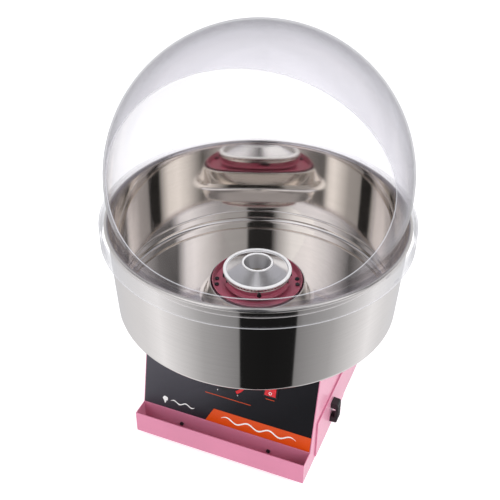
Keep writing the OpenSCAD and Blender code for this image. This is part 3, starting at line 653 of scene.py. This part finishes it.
def dome_mesh():
    """Both faces of the clear shell, joined by rounded rims at the skirt's foot and at the opening."""
    bm = bmesh.new()
    # The "rim" layer marks the middle of each rounded edge, where the acrylic's painted glow lies.
    painted_glow = bm.verts.layers.float.new("rim")
    skirt = bm.verts.layers.float.new("skirt")
    facing = math.radians(DOME_TURN - 90)
    rows = dome_rows()
    skirt_r = pan_high.x - ROLL_R  # the ledge and the skirt lie outside this radius

    def grid(depth):
        """One face of the shell, depth below the outer one."""
        made = []
        for r, z, n, half in rows:
            rr, zz = r - depth * math.cos(n), z - depth * math.sin(n)
            if rr < 1e-5:
                made.append([bm.verts.new((0, 0, zz))])
                continue
            closed = half == 0
            ring = []
            for k in range(DOME_COLUMNS + (0 if closed else 1)):
                a = facing + half + (math.tau - 2 * half) * k / DOME_COLUMNS
                ring.append(bm.verts.new((rr * math.cos(a), rr * math.sin(a), zz)))
                ring[-1][skirt] = 1.0 if r > skirt_r else 0.0
            made.append(ring)
        for low, high in zip(made, made[1:]):
            for k in range(DOME_COLUMNS):
                m = k + 1
                corners = [low[k % len(low)], low[m % len(low)], high[m % len(high)], high[k % len(high)]]
                corners = list(dict.fromkeys(corners))
                if len(corners) > 2:
                    bm.faces.new(corners)
        return made

    outer, inner = grid(0), grid(SHEET_T)

    def rim(outside, inside, bulge):
        """A rounded strip between two closed loops. bulge gives the way out at a point of the loop."""
        count = len(outside)
        middle = []
        for k in range(count):
            point = (outside[k].co + inside[k].co) / 2
            middle.append(bm.verts.new(point + bulge(k) * SHEET_T * 0.22))
            middle[-1][painted_glow] = 1.0
            middle[-1][skirt] = outside[k][skirt]
        for a, b in ((outside, middle), (middle, inside)):
            for k in range(count):
                m = (k + 1) % count
                bm.faces.new([a[k], a[m], b[m], b[k]])

    rim(outer[0], inner[0], lambda k: Vector((0, 0, -1)))
    opened = [i for i, row in enumerate(rows) if row[3] > 0]
    span = range(opened[0] - 1, opened[-1] + 2)

    def boundary(made):
        """The opening's edge, up its left side and down its right side."""
        up = [made[i][0] for i in span]
        down = [made[i][-1] for i in reversed(span) if rows[i][3] > 0]
        return up + down

    edge, inner_edge = boundary(outer), boundary(inner)
    middle_of_hole = sum((v.co for v in edge), Vector()) / len(edge)

    def out_of_edge(k):
        tangent = edge[(k + 1) % len(edge)].co - edge[k - 1].co
        through = edge[k].co - inner_edge[k].co
        way = tangent.cross(through).normalized()
        return way if way.dot(middle_of_hole - edge[k].co) > 0 else -way

    rim(edge, inner_edge, out_of_edge)
    finish_mesh(bm, math.radians(50))
    return bm


def make_dome():
    new_piece("dome_shell", dome_mesh(), "clear_acrylic", "cover", "clear_acrylic", "dome")
    seat = pan_high.z + SEAT_GAP
    outer = pan_high.x - 2 * ROLL_R - 3.5 * MM
    rib = [
        (outer, seat - 0.05 * MM, 0.3 * MM),
        (outer - 2.5 * MM, seat - 0.05 * MM, 0.3 * MM),
        (outer - 2.5 * MM, seat - 8 * MM, 0.8 * MM),
        (outer, seat - 8 * MM, 0.8 * MM),
    ]
    new_piece("dome_rib", lathe(fillet(rib, 4), TURNS), "clear_acrylic", "cover", "clear_acrylic", "dome")


# ---- Prints, marks and ribs ----

PANEL_LEAN = math.radians(11.5)
PANEL_FOOT = Vector((0, -147, 56)) * MM  # where the front starts to lean
FILM_T = 0.8
CONTROL_T = 105
SWITCH_X = 79
ROCKER_TILT = math.radians(8)


def on_panel(x, t, n):
    """A point on the leaning panel, in mm: x across, t up the panel, n out of it."""
    up = Vector((0, math.sin(PANEL_LEAN), math.cos(PANEL_LEAN)))
    out = Vector((0, -math.cos(PANEL_LEAN), math.sin(PANEL_LEAN)))
    return PANEL_FOOT + (Vector((x, 0, 0)) + up * t + out * n) * MM


def add_prism(bm, outline, low, high, place, hole=None):
    """A closed slab between two heights. A hole has as many points as the outline."""
    count = len(outline)

    def loop(points, n):
        return [bm.verts.new(place(x, y, n)) for x, y in points]

    bottom, top = loop(outline, low), loop(outline, high)
    walls = [(bottom, top)]
    if hole:
        hole_bottom, hole_top = loop(hole, low), loop(hole, high)
        walls += [(hole_top, hole_bottom), (top, hole_top), (hole_bottom, bottom)]
    else:
        bm.faces.new(top)
        bm.faces.new(bottom)
    for a, b in walls:
        for k in range(count):
            m = (k + 1) % count
            bm.faces.new([a[k], a[m], b[m], b[k]])


def bar(x, y, width, height):
    return [(x - width / 2, y - height / 2), (x + width / 2, y - height / 2),
            (x + width / 2, y + height / 2), (x - width / 2, y + height / 2)]


def ribbon(x0, x1, y, swing, waves, thickness, steps=120):
    """Outline of a wavy line whose ends taper."""
    upper, lower = [], []
    for k in range(steps + 1):
        u = k / steps
        middle = y + swing * math.sin(math.tau * waves * u)
        half = thickness / 2 * min(1.0, 0.25 + 6 * u, 0.25 + 6 * (1 - u))
        upper.append((x0 + (x1 - x0) * u, middle + half))
        lower.append((x0 + (x1 - x0) * u, middle - half))
    return lower + upper[::-1]


def make_prints():
    """Generic marks on the panel: a floss pictogram, wavy lines, a thin line and the dial's ticks."""
    white = bmesh.new()
    puff = []
    for k in range(60):
        a = math.tau * k / 60
        r = 4.6 + 0.9 * abs(math.sin(2.5 * a))
        puff.append((-119 + r * math.cos(a), 20.2 + r * 0.92 * math.sin(a)))
    add_prism(white, puff, FILM_T - 0.1, FILM_T + 0.15, on_panel)
    add_prism(white, [(-121.4, 15.4), (-119, 9.4), (-116.6, 15.4)], FILM_T - 0.1, FILM_T + 0.12, on_panel)
    add_prism(white, ribbon(-108, -60, 18.5, 2.6, 2, 2.2), FILM_T - 0.1, FILM_T + 0.15, on_panel)
    for k in range(7):
        a = math.radians(240 - 50 * k)
        tick = [(r * math.cos(a) - s * math.sin(a), CONTROL_T + r * math.sin(a) + s * math.cos(a))
                for r, s in ((36.6, -0.45), (39.6, -0.45), (39.6, 0.45), (36.6, 0.45))]
        add_prism(white, tick, FILM_T - 0.1, FILM_T + 0.15, on_panel)
    finish_mesh(white)
    new_piece("panel_marks", white, "white_print", "base", "graphite_film")

    wave = bmesh.new()
    add_prism(wave, ribbon(-8, 134, 15.5, 4.2, 3.5, 3.0, 200), FILM_T + 0.3, FILM_T + 0.55, on_panel)
    finish_mesh(wave)
    new_piece("banner_wave", wave, "white_print", "base", "orange_film")

    line = bmesh.new()
    add_prism(line, bar(1.5, 59.8, 87, 1.1), FILM_T - 0.1, FILM_T + 0.15, on_panel)
    for x in (-SWITCH_X, SWITCH_X):
        add_prism(line, bar(x, CONTROL_T - 22, 16, 1.1), FILM_T - 0.1, FILM_T + 0.15, on_panel)
    finish_mesh(line)
    new_piece("panel_lines", line, "orange_film", "base", "orange_film")


def make_rocker_marks():
    """A ring on each rocker's lower half and a bar on its upper half."""
    circle = [(math.cos(math.tau * k / 40), math.sin(math.tau * k / 40)) for k in range(40)]
    for name, body, x in (("power_marks", "power_switch", SWITCH_X), ("heat_marks", "heat_switch", -SWITCH_X)):
        bm = bmesh.new()
        for side, outline, hole in (
            (-1, [(2.9 * c, 2.9 * s) for c, s in circle], [(2.0 * c, 2.0 * s) for c, s in circle]),
            (1, bar(0, 0, 1.0, 5.6), None),
        ):
            slope = side * math.atan(2.8 / 11.9)

            def place(u, v, n):
                y = side * 6.8 + v * math.cos(slope) - n * math.sin(slope)
                z = 4.8 + v * math.sin(slope) + n * math.cos(slope)
                tilt = ROCKER_TILT
                return on_panel(
                    x + u,
                    CONTROL_T + y * math.cos(tilt) - z * math.sin(tilt),
                    y * math.sin(tilt) + z * math.cos(tilt),
                )

            add_prism(bm, outline, -0.1, 0.12, place, hole)
        finish_mesh(bm)
        new_piece(name, bm, "white_print", body, "red_plastic")


def make_pointer():
    """White line in the knob's groove."""
    bm = bmesh.new()
    add_prism(bm, bar(0, 10.6, 1.3, 12.4), 18.6, 19.1, lambda x, y, n: on_panel(x, CONTROL_T + y, n))
    finish_mesh(bm)
    new_piece("knob_pointer", bm, "white_print", "heat_dial", "black_plastic")


def make_grip_ribs():
    """Ribs across the outer face of the drawer's handle."""
    low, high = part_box("drawer_handle")
    middle, count = (low.z + high.z) / 2, 9
    bm = bmesh.new()
    for k in range(count):
        z = middle + (k - (count - 1) / 2) * 3.6 * MM
        rib = [(low.y + 1 * MM, z - 0.7 * MM), (high.y - 1 * MM, z - 0.7 * MM),
               (high.y - 1 * MM, z + 0.7 * MM), (low.y + 1 * MM, z + 0.7 * MM)]
        add_prism(bm, rib, high.x - 0.3 * MM, high.x + 0.5 * MM, lambda y, z, n: Vector((n, y, z)))
    finish_mesh(bm)
    new_piece("grip_ribs", bm, "black_plastic", "drawer", "black_plastic")


# ---- CAD nodes that stay ----

EDGE = {"feet": 0.6, "drawer_handle": 0.8, "heat_knob": 0.35, "power_rocker": 0.5, "heat_rocker": 0.5,
        "switch_bezels": 0.4, "dome_clips": 0.3, "heat_control": 0.4, "power_inlet": 0.4}
SHEET_EDGE = 0.3  # mm, on folded sheet
OWN_LOOKS = {"tray_screws": "black_screw", "head_screws": "black_screw"}
PLAIN_NODES = ("bowl", "dome", "hub_dish", "head_cup", "head_rim", "head_cone", "sugar_funnel")


def finish_cad_nodes():
    """Gives each CAD node its look, and breaks its edges."""
    slots = {s["node"]: s["material_slot"] for s in frame["record"]["subparts"]}
    for name, obj in frame["nodes"].items():
        paint(obj, OWN_LOOKS.get(name, slots[name]))
        if name in PLAIN_NODES:
            continue
        weld = obj.modifiers.new("weld", "WELD")
        weld.merge_threshold = 2e-6
        bevel = obj.modifiers.new("edges", "BEVEL")
        bevel.width = EDGE.get(name, SHEET_EDGE) * MM
        bevel.segments = 2
        bevel.limit_method = "ANGLE"
        bevel.angle_limit = math.radians(35)
        bevel.harden_normals = False


# ---- Stage ----


def add_floor():
    """A large pale floor that glossy rays pass, so that steel mirrors the light tent."""
    bm = bmesh.new()
    half = 12.0
    corners = [bm.verts.new((x * half, y * half, 0)) for x, y in ((-1, -1), (1, -1), (1, 1), (-1, 1))]
    bm.faces.new(corners)
    mesh = bpy.data.meshes.new("floor")
    bm.to_mesh(mesh)
    floor = bpy.data.objects.new("floor", mesh)
    bpy.context.scene.collection.objects.link(floor)
    look = Look("pale_floor", Roughness=0.9, Base_Color=(0.62, 0.62, 0.63, 1), Emission_Strength=0.62)
    look.shader.inputs["Emission Color"].default_value = (1, 1, 1, 1)
    look.shader.inputs["Specular IOR Level"].default_value = 0
    mesh.materials.append(look.material)
    floor.visible_glossy = False


# Brightness of the light tent by the angle, in degrees, from the gap where the camera stands
LOW_GAP = 9  # degrees that the gap below the horizon lies to the right of the camera
LOW_TENT = [(0, 0.010), (22.6, 0.012), (23.6, 0.23), (54, 0.40), (95, 0.90), (115, 0.76), (180, 0.62)]
HIGH_TENT = [
    (-180, 0.50),
    (-116, 0.47),
    (-93, 0.12),
    (-67, 0.80),
    (-50, 1.06),
    (-32, 0.92),
    (-19, 0.40),
    (-13, 0.02),
    (8, 0.02),
    (10, 0.36),
    (32, 0.42),
    (60, 1.06),
    (68, 0.95),
    (78, 0.12),
    (100, 0.20),
    (120, 0.48),
    (180, 0.50),
]


def add_tent():
    """The world: white to the eye, and for glossy rays a light tent with a dark gap where the camera stands."""
    world = bpy.data.worlds.new("light_tent")
    world.use_nodes = True
    bpy.context.scene.world = world
    tree = world.node_tree
    tree.nodes.clear()

    def node(kind, inputs=(), **settings):
        made = tree.nodes.new(kind)
        for name, value in settings.items():
            setattr(made, name, value)
        for key, value in inputs:
            if isinstance(value, bpy.types.NodeSocket):
                tree.links.new(value, made.inputs[key])
            else:
                made.inputs[key].default_value = value
        return made

    a = math.radians(CAMERA_AZIMUTH)
    way = node("ShaderNodeTexCoord").outputs["Generated"]
    forward, sideways = (math.sin(a), -math.cos(a), 0), (math.cos(a), math.sin(a), 0)
    ahead = node("ShaderNodeVectorMath", [(0, way), (1, forward)], operation="DOT_PRODUCT")
    beside = node("ShaderNodeVectorMath", [(0, way), (1, sideways)], operation="DOT_PRODUCT")
    angle = node(
        "ShaderNodeMath", [(0, beside.outputs["Value"]), (1, ahead.outputs["Value"])], operation="ARCTAN2"
    ).outputs[0]

    def profile(share, stops):
        """A grey ramp over share, with stops of (place, level)."""
        ramp = node("ShaderNodeValToRGB", [(0, share)])
        elements = ramp.color_ramp.elements
        while len(elements) < len(stops):
            elements.new(0.5)
        for element, (place, level) in zip(elements, stops):
            element.position = place
            element.color = (level * 0.97, level * 0.97, level, 1)
        return ramp.outputs[0]

    turned = node("ShaderNodeMath", [(0, angle), (1, math.radians(LOW_GAP))], operation="SUBTRACT").outputs[0]
    offset = node("ShaderNodeMath", [(0, turned)], operation="ABSOLUTE").outputs[0]
    low_share = node("ShaderNodeMath", [(0, offset), (1, math.pi)], operation="DIVIDE").outputs[0]
    low = profile(low_share, [(place / 180, level) for place, level in LOW_TENT])
    high_share = node(
        "ShaderNodeMath", [(0, angle), (1, 1 / math.tau), (2, 0.5)], operation="MULTIPLY_ADD"
    ).outputs[0]
    high = profile(high_share, [(place / 360 + 0.5, level) for place, level in HIGH_TENT])
    rise = node("ShaderNodeSeparateXYZ", [(0, way)]).outputs[2]
    above = node("ShaderNodeMapRange", [(0, rise), (1, -0.03), (2, 0.03), (3, 0.0), (4, 1.0)]).outputs[0]
    mixed = node("ShaderNodeMix", [(0, above), (6, low), (7, high)], data_type="RGBA").outputs[2]
    tent = node("ShaderNodeBackground", [(0, mixed), (1, 1.0)])
    open_white = node("ShaderNodeBackground", [(0, (1, 1, 1, 1)), (1, 0.75)])
    eye_white = node("ShaderNodeBackground", [(0, (1, 1, 1, 1)), (1, 1.0)])
    rays = node("ShaderNodeLightPath")
    base = node(
        "ShaderNodeMixShader",
        [(0, rays.outputs["Is Camera Ray"]), (1, open_white.outputs[0]), (2, eye_white.outputs[0])],
    )
    both = node(
        "ShaderNodeMixShader",
        [(0, rays.outputs["Is Glossy Ray"]), (1, base.outputs[0]), (2, tent.outputs[0])],
    )
    node("ShaderNodeOutputWorld", [(0, both.outputs[0])])


def add_softbox(name, place, aim, size, power, colour=(1, 1, 1)):
    light = bpy.data.lights.new(name, "AREA")
    light.shape = "RECTANGLE"
    light.size, light.size_y = size
    light.energy = power
    light.color = colour
    obj = bpy.data.objects.new(name, light)
    obj.location = place
    obj.rotation_mode = "QUATERNION"
    obj.rotation_quaternion = (Vector(aim) - Vector(place)).to_track_quat("-Z", "Y")
    bpy.context.scene.collection.objects.link(obj)
    return obj


def add_lights():
    top = add_softbox("top_box", (-0.25, 0.3, 2.3), (0, 0, 0.4), (1.1, 0.9), 14)
    left = add_softbox("left_box", (-1.6, -1.5, 1.5), (0, 0, 0.2), (1.4, 1.6), 16)
    right = add_softbox("right_box", (2.0, -0.4, 1.3), (0, 0, 0.2), (1.2, 1.6), 34)
    for box in (top, left, right):
        box.visible_glossy = False


# ---- Build ----

bpy.context.scene.view_settings.view_transform = "Standard"
cycles = bpy.context.scene.cycles
cycles.max_bounces = 24
cycles.glossy_bounces = 12
cycles.transmission_bounces = 16
cycles.transparent_max_bounces = 24

add_camera()
add_floor()
add_tent()
add_lights()
finish_cad_nodes()
make_bowl()
make_hub_dish()
make_head()
make_dome()
make_prints()
make_rocker_marks()
make_pointer()
make_grip_ribs()
